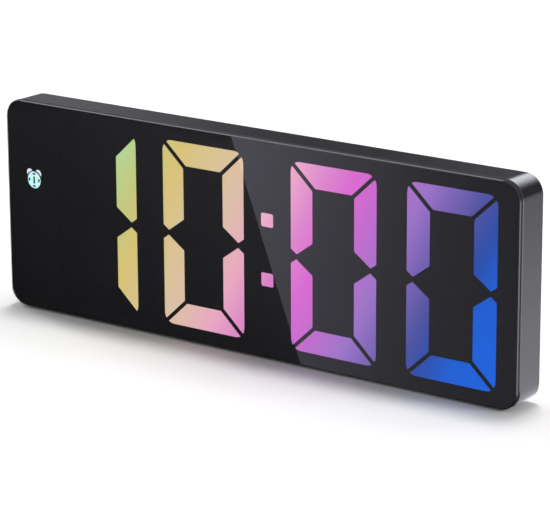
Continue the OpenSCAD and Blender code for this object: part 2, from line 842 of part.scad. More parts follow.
module usb_shell()
    color("silver") clock_frame() translate([-side_x, 0, usb_z])
        layer(board_back_y, usb_y)
            difference() {
                usb_outline(0);
                usb_outline(-usb_wall);
            }

// The plastic base and the tongue with the contacts
module usb_tongue()
    color([0.05, 0.05, 0.05]) clock_frame() translate([-side_x, 0, usb_z]) {
        layer(board_back_y, board_back_y + usb_base_t) usb_outline(-usb_wall);
        block(0, 0, usb_tongue_w, usb_tongue_t, board_back_y + usb_base_t, usb_y - usb_tongue_drop);
    }

// One tact switch body for each button
module tact_switch_bodies()
    color([0.7, 0.7, 0.68]) clock_frame()
        for (x = button_x)
            difference() {
                block(x, button_rise, tact_w, tact_h, board_back_y, board_back_y + tact_t);
                rod(
                    x, button_rise, plunger_d + 2 * plunger_gap,
                    board_back_y + tact_floor, board_back_y + tact_t + cut
                );
            }

// The plunger of button n
module plunger(n)
    color([0.1, 0.1, 0.1]) clock_frame()
        rod(button_x[n], button_rise, plunger_d, plunger_y, collar_y);

module mode_plunger() plunger(0);

module alarm_plunger() plunger(1);

module up_plunger() plunger(2);

module down_plunger() plunger(3);

// The cap of button n, with the collar that keeps it inside the cover
module push_button(n)
    color([0.2, 0.2, 0.21]) clock_frame() translate([button_x[n], 0, button_rise]) {
        layer(collar_y, collar_back_y)
            round_rect(
                button_w + 2 * collar_reach, button_h + 2 * collar_reach, button_corner_r + collar_reach
            );
        round_slab(
            button_w, button_h, button_corner_r, collar_back_y, slab_d + button_proud, 0, button_chamfer
        );
    }

module mode_button() push_button(0);

module alarm_button() push_button(1);

module up_button() push_button(2);

module down_button() push_button(3);

// The switch's body, with the groove that its knob slides in
module sound_switch_body()
    color([0.3, 0.3, 0.3]) clock_frame()
        difference() {
            block(switch_x, button_rise, switch_l, switch_w, board_back_y, board_back_y + switch_t);
            block(
                switch_x, button_rise, slot_l, groove_w,
                knob_y - knob_gap, board_back_y + switch_t + cut
            );
        }

// The knob rests at the left end of its slot
module sound_switch_knob()
    color([0.75, 0.75, 0.75]) clock_frame()
        block(
            switch_x - knob_travel / 2, button_rise, knob_w, knob_h, knob_y, slab_d + knob_proud
        );

module board_screws()
    color("silver") clock_frame()
        for (x = board_screw_x, z = board_screw_z)
            screw(
                x, z, board_screw_d, board_t + board_bite, board_head_d, board_head_t, board_back_y
            );

// Side of cell i's button: 1 is right and -1 is left
function button_side(i) = i % 2 == 0 ? 1 : -1;
function cell_z(i) = bay_z + (1 - i) * cell_step;

// Three cells in series, so that the middle one lies the other way round
module battery_cells()
    color("darkorange") clock_frame()
        for (i = [0:2])
            translate([button_side(i) * spring_l / 2, cell_y, cell_z(i)])
                rotate([0, button_side(i) * 90, 0]) {
                    translate([0, 0, -cell_l / 2])
                        cylinder(d = cell_d, h = cell_l - button_pole_h);
                    translate([0, 0, cell_l / 2 - button_pole_h])
                        cylinder(d = button_pole_d, h = button_pole_h);
                }

// A contact plate at one end of the bay that covers the cells from first to last
module contact_plate(side, first, last)
    block(
        side * (bay_l / 2 - plate_t / 2), (cell_z(first) + cell_z(last)) / 2,
        plate_t, cell_z(first) - cell_z(last) + plate_w, cell_y - plate_w / 2, cell_y + plate_w / 2
    );

// A solder tab that runs through the bay's end wall
module solder_tab(side, i)
    block(
        side * (bay_l / 2 + (bay_wall + tab_l) / 2), cell_z(i), bay_wall + tab_l, tab_w,
        tab_y - plate_t / 2, tab_y + plate_t / 2
    );

module battery_contacts()
    color("silver") clock_frame() {
        contact_plate(-1, 0, 0);
        solder_tab(-1, 0);
        contact_plate(-1, 1, 2);
        contact_plate(1, 0, 1);
        contact_plate(1, 2, 2);
        solder_tab(1, 2);
    }

// A spring's wire: rings of six corners along a helix that rises from the plate to the cell
SPRING_SIDES = 6;
SPRING_STEPS = 8;
spring_rings = spring_turns * SPRING_STEPS;
spring_rise = spring_l - spring_wire * cos(180 / SPRING_SIDES);
function ring_height(i) =
    spring_wire * cos(180 / SPRING_SIDES) / 2 + spring_rise * i / spring_rings;
function spring_corner(i, j) =
    let (
        turn = 360 * i / SPRING_STEPS,
        lean = 360 * (j + 0.5) / SPRING_SIDES,
        reach = spring_d / 2 + spring_wire / 2 * cos(lean)
    )
    [reach * cos(turn), reach * sin(turn), ring_height(i) + spring_wire / 2 * sin(lean)];
function spring_index(i, j) = i * SPRING_SIDES + j % SPRING_SIDES;

module spring()
    polyhedron(
        points = [for (i = [0:spring_rings], j = [0:SPRING_SIDES - 1]) spring_corner(i, j)],
        faces = concat(
            [
                for (i = [0:spring_rings - 1], j = [0:SPRING_SIDES - 1], half = [0, 1])
                    half == 0
                    ? [spring_index(i, j), spring_index(i, j + 1), spring_index(i + 1, j)]
                    : [spring_index(i + 1, j), spring_index(i, j + 1), spring_index(i + 1, j + 1)]
            ],
            [
                for (j = [1:SPRING_SIDES - 2], end = [0, spring_rings])
                    end == 0
                    ? [spring_index(0, 0), spring_index(0, j + 1), spring_index(0, j)]
                    : [spring_index(end, 0), spring_index(end, j), spring_index(end, j + 1)]
            ]
        )
    );

module battery_springs()
    color("silver") clock_frame()
        for (i = [0:2])
            translate([-button_side(i) * (bay_l / 2 - plate_t), cell_y, cell_z(i)])
                rotate([0, button_side(i) * 90, 0]) spring();

// A lead from the solder tab of cell i down to the board
module lead(side, i)
    translate([side * (bay_l / 2 + bay_wall + tab_l), 0, cell_z(i)]) {
        translate([0, tab_y - lead_bend_r, 0])
            scale([side, 1, 1]) rotate_extrude(angle = 90) translate([lead_bend_r, 0]) circle(d = lead_d);
        rod(side * lead_bend_r, 0, lead_d, board_back_y, tab_y - lead_bend_r);
    }

module red_lead()
    color("red") clock_frame() lead(1, 2);

module black_lead()
    color([0.1, 0.1, 0.1]) clock_frame() lead(-1, 0);

// The battery housing's outside
module hump_outside()
    translate([0, 0, hump_z])
        round_slab(hump_w, hump_h, hump_r, slab_d, total_d, 0, hump_chamfer);

// The battery housing's inside, which opens through the cover's plate
module hump_inside() {
    floor_z = -body_h / 2 + hump_floor_t;
    top_z = hump_top_z - hump_wall;
    translate([0, 0, (floor_z + top_z) / 2])
        layer(slab_d, hump_back_y)
            round_rect(hump_w - 2 * hump_wall, top_z - floor_z, cavity_r);
    mouth_z = -body_h / 2 + sill_h;
    translate([0, 0, (mouth_z + top_z) / 2])
        layer(cover_y - cut, slab_d + cut)
            round_rect(hump_w - 2 * hump_wall, top_z - mouth_z, cavity_r);
}

// The battery bay's walls and floor, inside the housing
module bay_walls()
    translate([0, 0, bay_z])
        difference() {
            block(
                0, 0, bay_l + 2 * bay_wall, bay_h + 2 * bay_wall, bay_y - bay_wall, hump_back_y
            );
            block(0, 0, bay_l, bay_h, bay_y, hump_back_y + cut);
        }

// Ribs on the bay's floor between the cells
module bay_ribs()
    for (z = [-1, 1], x = [-1, 1])
        block(
            x * bay_l / 4, bay_z + z * cell_step / 2, rib_l, rib_t, bay_y, bay_y + rib_h
        );

// The pocket that surrounds the inlet
module pocket_walls()
    translate([-side_x, 0, usb_z])
        layer(pocket_y - pocket_wall, hump_back_y)
            round_rect(pocket_w + 2 * pocket_wall, pocket_h + 2 * pocket_wall, pocket_r + pocket_wall);

module pocket_cuts()
    translate([-side_x, 0, usb_z]) {
        layer(pocket_y, total_d + cut) round_rect(pocket_w, pocket_h, pocket_r);
        layer(pocket_y - pocket_wall - cut, pocket_y + cut) usb_outline(usb_gap);
    }

// The slot in the bay's end wall that the solder tab of cell i runs through
module tab_slot(side, i)
    block(
        side * (bay_l / 2 + bay_wall / 2), cell_z(i), bay_wall + 2 * cut, tab_w + 2 * shank_gap,
        tab_y - plate_t / 2 - shank_gap, tab_y + plate_t / 2 + shank_gap
    );

// The opening that the battery door fills, the slots that its tabs swing in, and the slots
// of the two solder tabs
module bay_cuts() {
    block(
        0, bay_z, door_w + 2 * door_gap, door_h + 2 * door_gap, total_d - door_t, total_d + cut
    );
    for (x = [-1, 1])
        block(
            x * tongue_x, bay_z - (bay_h + bay_wall) / 2, tongue_w + 2 * door_gap, bay_wall + 2 * cut,
            total_d - tongue_swing - door_gap, hump_back_y
        );
    tab_slot(-1, 0);
    tab_slot(1, 2);
}

module sound_holes()
    for (i = [0:sound_holes])
        translate([side_x, 0, buzzer_z])
            rotate([0, 360 * i / sound_holes, 0])
                rod(0, i == sound_holes ? 0 : sound_ring_r, sound_hole_d, hump_back_y - cut, total_d + cut);

// The rear shell: a plate inside the frame with the battery housing on it
module rear_cover()
    color([0.13, 0.13, 0.14]) clock_frame()
        difference() {
            union() {
                difference() {
                    union() {
                        layer(cover_y, slab_d)
                            round_rect(
                                inner_w - 2 * cover_gap, inner_h - 2 * cover_gap, inner_r - cover_gap
                            );
                        hump_outside();
                    }
                    hump_inside();
                }
                bay_walls();
                bay_ribs();
                pocket_walls();
            }
            bay_cuts();
            pocket_cuts();
            sound_holes();
            foot_recesses();
            for (x = button_x)
                translate([x, 0, button_rise])
                    layer(cover_y - cut, slab_d + cut)
                        round_rect(
                            button_w + 2 * button_gap, button_h + 2 * button_gap,
                            button_corner_r + button_gap
                        );
            block(switch_x, button_rise, slot_l, groove_w, cover_y - cut, slab_d + cut);
            rod(-mic_x, button_rise, mic_hole_d, cover_y - cut, slab_d + cut);
            for (x = [-1, 1], z = [-1, 1]) {
                rod(
                    x * boss_x, z * boss_z, case_screw_d + 2 * shank_gap, cover_y - cut, slab_d + cut
                );
                rod(
                    x * boss_x, z * boss_z, case_head_d + 2 * head_gap,
                    slab_d - case_head_t - shank_gap, slab_d + cut
                );
            }
        }

// The door with two tabs below and a latch tongue above
module battery_door()
    color([0.15, 0.15, 0.16]) clock_frame() translate([0, 0, bay_z])
        difference() {
            union() {
                block(0, 0, door_w, door_h, total_d - door_t, total_d);
                for (x = [-1, 1])
                    translate([x * tongue_x, 0, -door_h / 2]) {
                        block(
                            0, 0, tongue_w, 2 * tongue_reach,
                            total_d - door_t - tongue_gap - tongue_t, total_d - door_t - tongue_gap
                        );
                        block(
                            0, tongue_reach / 2 + door_gap, tongue_w, tongue_reach - 2 * door_gap,
                            total_d - door_t - tongue_gap - tongue_t, total_d - door_t
                        );
                    }
                block(
                    0, door_h / 2, latch_w / 2, 2 * latch_nib,
                    total_d - door_t, total_d - door_t / 2
                );
            }
            for (x = [-1, 1])
                block(
                    x * (latch_w + latch_slot) / 2, (door_h - latch_l) / 2, latch_slot, latch_l + cut,
                    total_d - door_t - cut, total_d + cut
                );
            block(
                0, door_h / 2 - latch_l / 2, grip_w, grip_h, total_d - grip_depth, total_d + cut
            );
        }

module case_screws()
    color("silver") clock_frame()
        for (x = [-1, 1], z = [-1, 1])
            screw(
                x * boss_x, z * boss_z, case_screw_d,
                slab_d - case_head_t - board_back_y - 2 * end_space, case_head_d, case_head_t,
                slab_d - case_head_t - shank_gap
            );

// Soft pads under the slab and under the battery housing
module foot_pads()
    color([0.25, 0.25, 0.25]) clock_frame()
        translate([0, 0, -body_h / 2 - foot_proud])
            linear_extrude(foot_recess + foot_proud) foot_places() square([foot_l, foot_w], center = true);

front_lens();
display_mask();
lens_tape();
colour_film();
hours_tens_guides();
hours_units_guides();
minutes_tens_guides();
minutes_units_guides();
colon_guides();
alarm_sign_guide();
idle_guides();
reflector_block();
segment_leds();
main_board();
front_frame();
clock_chip();
led_driver_chip();
quartz_crystal();
supply_capacitor();
chip_passives();
buzzer();
microphone();
usb_shell();
usb_tongue();
tact_switch_bodies();
sound_switch_body();
board_screws();
mode_plunger();
alarm_plunger();
up_plunger();
down_plunger();
mode_button();
alarm_button();
up_button();
down_button();
sound_switch_knob();
battery_cells();
battery_contacts();
battery_springs();
red_lead();
black_lead();
rear_cover();
battery_door();
case_screws();
foot_pads();
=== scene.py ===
"""Looks of a slim desk clock with a large colour display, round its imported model.

Places and sizes are metres in the model's own frame: X to the right, Y backwards, Z up.
"""

import json
import math

import bmesh
import bpy
from mathutils import Matrix, Vector

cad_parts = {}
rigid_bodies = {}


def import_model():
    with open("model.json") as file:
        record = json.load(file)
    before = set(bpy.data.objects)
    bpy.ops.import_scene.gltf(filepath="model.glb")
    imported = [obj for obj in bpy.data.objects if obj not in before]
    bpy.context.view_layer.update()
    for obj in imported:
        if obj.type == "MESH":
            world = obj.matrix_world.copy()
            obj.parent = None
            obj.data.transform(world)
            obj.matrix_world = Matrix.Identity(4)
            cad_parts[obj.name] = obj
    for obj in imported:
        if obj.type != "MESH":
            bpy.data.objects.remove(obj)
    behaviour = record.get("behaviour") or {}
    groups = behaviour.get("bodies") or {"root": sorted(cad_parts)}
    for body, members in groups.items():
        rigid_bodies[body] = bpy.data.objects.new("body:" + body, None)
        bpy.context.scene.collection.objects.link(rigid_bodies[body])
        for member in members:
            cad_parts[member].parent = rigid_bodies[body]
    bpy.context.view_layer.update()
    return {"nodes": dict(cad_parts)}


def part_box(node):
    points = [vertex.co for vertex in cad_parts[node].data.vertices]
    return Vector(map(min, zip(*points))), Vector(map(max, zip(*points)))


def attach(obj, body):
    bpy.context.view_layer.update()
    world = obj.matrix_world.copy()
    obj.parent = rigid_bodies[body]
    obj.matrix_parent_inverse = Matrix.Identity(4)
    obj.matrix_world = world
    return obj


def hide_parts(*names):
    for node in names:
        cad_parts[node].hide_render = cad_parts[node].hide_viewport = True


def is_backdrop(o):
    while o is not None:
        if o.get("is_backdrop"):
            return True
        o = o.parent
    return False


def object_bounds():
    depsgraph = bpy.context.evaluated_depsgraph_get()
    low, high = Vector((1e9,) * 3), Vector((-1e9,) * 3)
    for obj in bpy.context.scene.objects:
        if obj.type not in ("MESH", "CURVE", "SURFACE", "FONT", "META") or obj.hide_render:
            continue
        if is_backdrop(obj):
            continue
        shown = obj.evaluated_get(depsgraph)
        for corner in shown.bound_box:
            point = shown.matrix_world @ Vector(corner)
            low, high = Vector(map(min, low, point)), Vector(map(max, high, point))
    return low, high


for item in list(bpy.data.objects):
    bpy.data.objects.remove(item)

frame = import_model()
NODES = frame["nodes"]
MM = 0.001


# Colours

def srgb(red, green, blue):
    """A colour that is written as a screen shows it, from 0 to 255, as the shader wants it."""
    def linear(value):
        share = value / 255
        return share / 12.92 if share <= 0.04045 else ((share + 0.055) / 1.055) ** 2.4
    return (linear(red), linear(green), linear(blue), 1.0)


def grey(value):
    """A grey that is written as the shader wants it, from 0 to 1."""
    return (value, value, value, 1.0)


# Nodes. Their owner is a material or the world.

def link(owner, source, target):
    owner.node_tree.links.new(source, target)


def put(owner, socket, value):
    """Sets the socket to a constant, or links it to another node's output."""
    if isinstance(value, bpy.types.NodeSocket):
        link(owner, value, socket)
    else:
        socket.default_value = value


def add(owner, kind, **values):
    """A new node, with these values on its sockets or its own settings."""
    node = owner.node_tree.nodes.new(kind)
    for name, value in values.items():
        socket = node.inputs.get(name.replace("_", " "))
        if socket is None:
            setattr(node, name, value)
        else:
            put(owner, socket, value)
    return node


def calculated(owner, operation, first, second):
    node = add(owner, "ShaderNodeMath", operation=operation)
    put(owner, node.inputs[0], first)
    put(owner, node.inputs[1], second)
    return node.outputs[0]


def distance_along(owner, place, direction):
    """How far the place lies in a direction."""
    node = add(owner, "ShaderNodeVectorMath", operation="DOT_PRODUCT")
    put(owner, node.inputs[0], place)
    put(owner, node.inputs[1], direction)
    return node.outputs["Value"]


def spread(owner, value, start, end, low=0.0, high=1.0):
    """The value's way from start to end, spread from low to high."""
    node = add(
        owner, "ShaderNodeMapRange",
        Value=value, From_Min=start, From_Max=end, To_Min=low, To_Max=high,
    )
    return node.outputs["Result"]


def seen_directly(owner):
    """1 on rays from the camera, off a glossy surface or through glass, and 0 on other rays."""
    path = add(owner, "ShaderNodeLightPath")
    share = path.outputs["Is Camera Ray"]
    for kind in ("Is Glossy Ray", "Is Transmission Ray"):
        share = calculated(owner, "MAXIMUM", share, path.outputs[kind])
    return share


def object_place(material):
    """The place on a piece, by its own coordinates."""
    return add(material, "ShaderNodeTexCoord").outputs["Object"]


def noise(material, size, detail):
    """Noise whose patches are about size across."""
    node = add(
        material, "ShaderNodeTexNoise",
        Vector=object_place(material), Scale=1 / size, Detail=detail,
    )
    return node.outputs["Fac"]


# The colour Mix node's sockets, which share their names with those for numbers
MIX_SHARE = 0
MIX_FIRST = 6
MIX_SECOND = 7
MIX_RESULT = 2


def colour_between(material, share, first, second):
    """A colour that goes from the first to the second as the share goes from 0 to 1."""
    node = add(material, "ShaderNodeMix", data_type="RGBA")
    put(material, node.inputs[MIX_SHARE], share)
    put(material, node.inputs[MIX_FIRST], first)
    put(material, node.inputs[MIX_SECOND], second)
    return node.outputs[MIX_RESULT]


def ramp_along(material, direction, stops):
    """A colour that changes in a direction, by stops of (metres, colour)."""
    start, end = stops[0][0], stops[-1][0]
    distance = distance_along(material, object_place(material), direction)
    ramp = add(material, "ShaderNodeValToRGB", Fac=spread(material, distance, start, end))
    elements = ramp.color_ramp.elements
    elements[0].color = stops[0][1]
    elements[1].color = stops[-1][1]
    for place, colour in stops[1:-1]:
        elements.new((place - start) / (end - start)).color = colour
    return ramp.outputs["Color"]


# Surfaces

def new_material(name):
    material = bpy.data.materials.new(name)
    material.use_nodes = True
    return material


def shader_of(material):
    return material.node_tree.nodes["Principled BSDF"]


def principled(name, colour, roughness, **sockets):
    """A material whose shader has these constant values."""
    material = new_material(name)
    inputs = shader_of(material).inputs
    inputs["Base Color"].default_value = colour
    inputs["Roughness"].default_value = roughness
    for socket, value in sockets.items():
        inputs[socket.replace("_", " ")].default_value = value
    return material


def bare(name):
    """A material without a shader."""
    material = new_material(name)
    material.node_tree.nodes.remove(shader_of(material))
    return material


def show(material, shader):
    """Gives the material this shader's output as its surface."""
    link(material, shader, material.node_tree.nodes["Material Output"].inputs["Surface"])


NOISE_MIDDLE = (0.3, 0.7)  # where most of a noise's values lie
GRAIN_DETAIL = 2.0
PATCH_DETAIL = 3.0
GLOSS_PATCH = 40  # how much larger the patches of gloss are than the grain


def give_grain(material, size, depth, roughness):
    """A bumpy surface of a certain grain, whose gloss varies between two roughnesses."""
    shader = shader_of(material)
    bump = add(
        material, "ShaderNodeBump",
        Height=noise(material, size, GRAIN_DETAIL), Strength=1.0, Distance=depth,
    )
    link(material, bump.outputs["Normal"], shader.inputs["Normal"])
    patches = noise(material, size * GLOSS_PATCH, PATCH_DETAIL)
    link(material, spread(material, patches, *NOISE_MIDDLE, *roughness), shader.inputs["Roughness"])


def give_tint(material, size, dark, light):
    """Slow changes between two colours."""
    share = spread(material, noise(material, size, PATCH_DETAIL), *NOISE_MIDDLE)
    colour = colour_between(material, share, dark, light)
    link(material, colour, shader_of(material).inputs["Base Color"])


# Plastics, rubber and ceramics

PLASTIC_PATCH = 8 * MM


def moulded(name, dark, light, grain, depth, roughness, gloss=0.5):
    """A moulded surface: slow shifts of colour, fine grain and uneven gloss. The grain's size
    and depth are in millimetres."""
    material = principled(name, dark, roughness[0], IOR=1.5, Specular_IOR_Level=gloss)
    give_tint(material, PLASTIC_PATCH, dark, light)
    give_grain(material, grain * MM, depth * MM, roughness)
    return material


def frame_satin():
    """The front frame's satin black, smooth enough to mirror softly."""
    return moulded(
        "frame_satin", srgb(37, 37, 40), srgb(41, 41, 44), 0.12, 0.0015, (0.16, 0.2)
    )


def cover_grain():
    """The grained black of the rear cover and the battery door."""
    return moulded("cover_grain", srgb(36, 36, 38), srgb(41, 41, 43), 0.35, 0.03, (0.5, 0.6))


def button_satin():
    return moulded("button_satin", srgb(48, 48, 50), srgb(54, 54, 56), 0.15, 0.004, (0.34, 0.42))


def foot_rubber():
    return moulded("foot_rubber", grey(0.02), grey(0.032), 0.15, 0.02, (0.75, 0.9))


def screen_print():
    """The black ink behind the lens. The lens alone gives it gloss."""
    return moulded("screen_print", grey(0.011), grey(0.013), 0.2, 0.001, (0.4, 0.5), gloss=0.0)


def foam_tape():
    return moulded("foam_tape", grey(0.008), grey(0.012), 0.2, 0.03, (0.8, 0.95))


def dark_guide():
    """An unlit light guide, as dark behind the lens as the print."""
    return moulded("dark_guide", grey(0.011), grey(0.013), 0.5, 0.001, (0.4, 0.5), gloss=0.0)


def led_phosphor():
    return moulded("led_phosphor", srgb(235, 215, 120), srgb(245, 228, 140), 0.1, 0.003, (0.3, 0.4))


def epoxy():
    """The black of chips, plungers and the buzzer."""
    return moulded("epoxy", grey(0.014), grey(0.02), 0.1, 0.004, (0.45, 0.6))


def capacitor_sleeve():
    return moulded("capacitor_sleeve", srgb(44, 52, 84), srgb(50, 60, 94), 0.3, 0.003, (0.25, 0.35))


def fired_ceramic():
    return moulded(
        "fired_ceramic", srgb(168, 142, 104), srgb(186, 160, 120), 0.1, 0.01, (0.5, 0.65)
    )


def switch_grey():
    return moulded("switch_grey", srgb(120, 120, 120), srgb(132, 132, 132), 0.2, 0.01, (0.45, 0.55))


def knob_grey():
    return moulded("knob_grey", srgb(160, 160, 158), srgb(172, 172, 170), 0.2, 0.008, (0.4, 0.5))


def cell_sleeve():
    """The cells' printed sleeve, without words."""
    return moulded("cell_sleeve", srgb(30, 70, 110), srgb(36, 82, 124), 0.4, 0.004, (0.22, 0.32))


def red_insulation():
    return moulded("red_insulation", srgb(176, 22, 22), srgb(190, 30, 28), 0.3, 0.004, (0.35, 0.45))


def black_insulation():
    return moulded("black_insulation", grey(0.012), grey(0.02), 0.3, 0.004, (0.35, 0.45))


INK_DEPTH = 0.05 * MM


def inked_reflector():
    """White plastic whose face between the light guides is inked black."""
    material = moulded("inked_reflector", grey(0.8), grey(0.86), 0.3, 0.01, (0.5, 0.6), gloss=0.2)
    colour = shader_of(material).inputs["Base Color"]
    white = colour.links[0].from_socket
    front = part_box("reflector_block")[0].y
    depth = distance_along(material, object_place(material), (0, 1, 0))
    inside = calculated(material, "GREATER_THAN", depth, front + INK_DEPTH)
    link(material, colour_between(material, inside, grey(0.01), white), colour)
    return material


# Metals and the board

METAL_PATCH = 2 * MM
METAL_GRAIN = 0.15 * MM
METAL_GRAIN_DEPTH = 0.002 * MM


def metal(name, dark, light, roughness):
    """Plated metal, a little uneven in colour and gloss."""
    material = principled(name, light, roughness[0], Metallic=1.0)
    give_tint(material, METAL_PATCH, dark, light)
    give_grain(material, METAL_GRAIN, METAL_GRAIN_DEPTH, roughness)
    return material


def plated_steel():
    return metal("plated_steel", grey(0.5), grey(0.62), (0.2, 0.32))


def black_zinc():
    return metal("black_zinc", grey(0.05), grey(0.08), (0.3, 0.45))


TRACK_FIELD = 9 * MM
TRACK_SHARE = 0.03


def board_mask():
    """Green solder mask over a faint pattern of tracks."""
    material = principled("board_mask", srgb(20, 78, 42), 0.35, Coat_Weight=0.3)
    upright = add(
        material, "ShaderNodeMapping",
        Vector=object_place(material), Rotation=(math.radians(90), 0, 0),
    )
    tracks = add(
        material, "ShaderNodeTexBrick",
        Vector=upright.outputs["Vector"], Scale=1 / TRACK_FIELD, Mortar_Size=TRACK_SHARE,
        Color1=srgb(18, 74, 40), Color2=srgb(24, 88, 48), Mortar=srgb(46, 122, 70),
    )
    link(material, tracks.outputs["Color"], shader_of(material).inputs["Base Color"])
    return material


# The lit display

# Its colours along its slant, as (millimetres from the middle of the face, colour)
DISPLAY_COLOURS = [
    (-54, (160, 222, 165)), (-46, (180, 212, 146)), (-38, (196, 200, 124)), (-30, (216, 194, 118)),
    (-20, (216, 195, 145)), (-10, (221, 190, 167)), (0, (232, 167, 193)), (10, (216, 126, 199)),
    (18, (213, 95, 202)), (26, (191, 97, 201)), (36, (151, 109, 195)), (44, (112, 91, 174)),
    (51, (69, 76, 155)), (57, (29, 71, 165)), (64, (0, 89, 207)), (76, (0, 94, 221)),
]
DISPLAY_SLANT = math.radians(29)
DISPLAY_STRENGTH = 1.12


def glowing(name):
    """A light guide that shows no light but its own."""
    return principled(
        name, grey(0.005), 0.5, Emission_Strength=DISPLAY_STRENGTH, Specular_IOR_Level=0.0
    )


def lit_guide():
    """A light guide behind the film, whose colour follows the film's slanted gradient."""
    material = glowing("lit_guide")
    low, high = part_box("front_lens")
    direction = Vector((math.cos(DISPLAY_SLANT), 0, -math.sin(DISPLAY_SLANT)))
    middle = direction.z * (low.z + high.z) / 2
    stops = [(middle + place * MM, srgb(*colour)) for place, colour in DISPLAY_COLOURS]
    colour = ramp_along(material, direction, stops)
    link(material, colour, shader_of(material).inputs["Emission Color"])
    return material


DIAL_CYAN = srgb(196, 252, 247)
BELL_WHITE = srgb(222, 236, 246)
# The colour changes between these two depths below the sign's top
DIAL_DEPTH = 2.4 * MM
BELL_DEPTH = 1.0 * MM


def lit_sign():
    """The alarm sign's guide: pale cyan on the dial and whiter on the bells."""
    material = glowing("lit_sign")
    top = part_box("alarm_sign_guide")[1].z
    height = distance_along(material, object_place(material), (0, 0, 1))
    share = spread(material, height, top - DIAL_DEPTH, top - BELL_DEPTH)
    colour = colour_between(material, share, DIAL_CYAN, BELL_WHITE)
    link(material, colour, shader_of(material).inputs["Emission Color"])
    return material


FINISHES = (
    (frame_satin, ["front_frame"]),
    (cover_grain, ["rear_cover", "battery_door"]),
    (button_satin, ["mode_button", "alarm_button", "up_button", "down_button"]),
    (foot_rubber, ["foot_pads"]),
    (screen_print, ["display_mask"]),
    (foam_tape, ["lens_tape"]),
    (lit_guide, [
        "hours_tens_guides", "hours_units_guides", "minutes_tens_guides", "minutes_units_guides",
        "colon_guides",
    ]),
    (lit_sign, ["alarm_sign_guide"]),
    (dark_guide, ["idle_guides"]),
    (inked_reflector, ["reflector_block"]),
    (led_phosphor, ["segment_leds"]),
    (board_mask, ["main_board"]),
    (epoxy, [
        "clock_chip", "led_driver_chip", "buzzer", "usb_tongue",
        "mode_plunger", "alarm_plunger", "up_plunger", "down_plunger",
    ]),
    (plated_steel, [
        "quartz_crystal", "microphone", "usb_shell", "board_screws", "battery_contacts",
        "battery_springs",
    ]),
    (black_zinc, ["case_screws"]),
    (capacitor_sleeve, ["supply_capacitor"]),
    (fired_ceramic, ["chip_passives"]),
    (switch_grey, ["tact_switch_bodies", "sound_switch_body"]),
    (knob_grey, ["sound_switch_knob"]),
    (cell_sleeve, ["battery_cells"]),
    (red_insulation, ["red_lead"]),
    (black_insulation, ["black_lead"]),
)


def dress_nodes():
    """Gives every node of the model its finish, except for the lens and the film."""
    for finish, names in FINISHES:
        material = finish()
        for name in names:
            NODES[name].material_slots[0].material = material


# The lens and the film, which stand for their nodes

def object_of(name, shape, materials):
    """A new object with this shape and these materials."""
    mesh = bpy.data.meshes.new(name)
    shape.to_mesh(mesh)
    shape.free()
    for material in materials:
        mesh.materials.append(material)
    made = bpy.data.objects.new(name, mesh)
    bpy.context.collection.objects.link(made)
    return made


def merged_copy(node):
    """The node's shape as a mesh of its own, with its points merged."""
    shape = bmesh.new()
    shape.from_mesh(NODES[node].data)
    bmesh.ops.remove_doubles(shape, verts=shape.verts, dist=0.001 * MM)
    return shape


def stand_for(node, name, shape, materials):
    """Puts a piece with this shape in the node's place."""
    piece = object_of(name, shape, materials)
    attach(piece, "housing")
    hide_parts(node)


def acrylic_sheet():
    """The clear polished sheet. It lets lamps through, so that what lies behind it is lit."""
    material = principled("acrylic_sheet", grey(0.96), 0.0, IOR=1.49, Transmission_Weight=1.0)
    path = add(material, "ShaderNodeLightPath")
    clear = add(material, "ShaderNodeBsdfTransparent")
    either = add(material, "ShaderNodeMixShader")
    link(material, path.outputs["Is Shadow Ray"], either.inputs[0])
    link(material, shader_of(material).outputs["BSDF"], either.inputs[1])
    link(material, clear.outputs["BSDF"], either.inputs[2])
    show(material, either.outputs["Shader"])
    return material


LENS_EDGE_PATCH = 6 * MM


def lens_bevel():
    """The sheet's polished bevel, dark because the dark print shows in it."""
    material = principled("lens_bevel", grey(0.008), 0.05, IOR=1.49)
    give_tint(material, LENS_EDGE_PATCH, grey(0.007), grey(0.01))
    return material


def lens_rim_painted_shade():
    """The sheet's sawn rim, behind the bevel, coloured dark and matt as painted shade for the gap
    between the lens and the frame.
    """
    material = principled("lens_rim_painted_shade", grey(0.008), 0.6, Specular_IOR_Level=0.15)
    give_tint(material, LENS_EDGE_PATCH, grey(0.006), grey(0.01))
    give_grain(material, 0.1 * MM, 0.004 * MM, (0.55, 0.7))
    return material


def bonded_back():
    """The sheet's back, which the print and the film are bonded to, so that it mirrors nothing."""
    material = bare("bonded_back")
    show(material, add(material, "ShaderNodeBsdfTransparent").outputs["BSDF"])
    return material


PRINT_GAP = 0.02 * MM
# How squarely a face of the lens looks forwards, if it is the flat front or the bevel
FLAT = 0.99
BEVELLED = 0.5


def lens_face(forwards):
    """Which of the lens's materials a face has, by how squarely it looks forwards."""
    if forwards > FLAT:
        return 0
    if forwards > BEVELLED:
        return 1
    if forwards >= -FLAT:
        return 2
    return 3


def make_lens():
    """The sheet, clear from front to back and dark along its edge, where the rim's dark colour is
    painted shade for the gap to the frame. It ends just before the print, so that the two faces
    don't lie in one plane."""
    shape = merged_copy("front_lens")
    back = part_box("front_lens")[1].y
    for point in shape.verts:
        if point.co.y > back - PRINT_GAP:
            point.co.y -= PRINT_GAP
    shape.normal_update()
    for face in shape.faces:
        face.material_index = lens_face(-face.normal.y)
        face.smooth = False
    materials = [acrylic_sheet(), lens_bevel(), lens_rim_painted_shade(), bonded_back()]
    stand_for("front_lens", "lens_sheet", shape, materials)


FILM_PATCH = 20 * MM
FILM_THINNING = 0.5


def colour_sheet():
    """The film, which stays dark where no light comes from behind."""
    material = principled("colour_sheet", grey(0.02), 0.5, Alpha=0.03, Specular_IOR_Level=0.0)
    give_tint(material, FILM_PATCH, grey(0.016), grey(0.024))
    return material


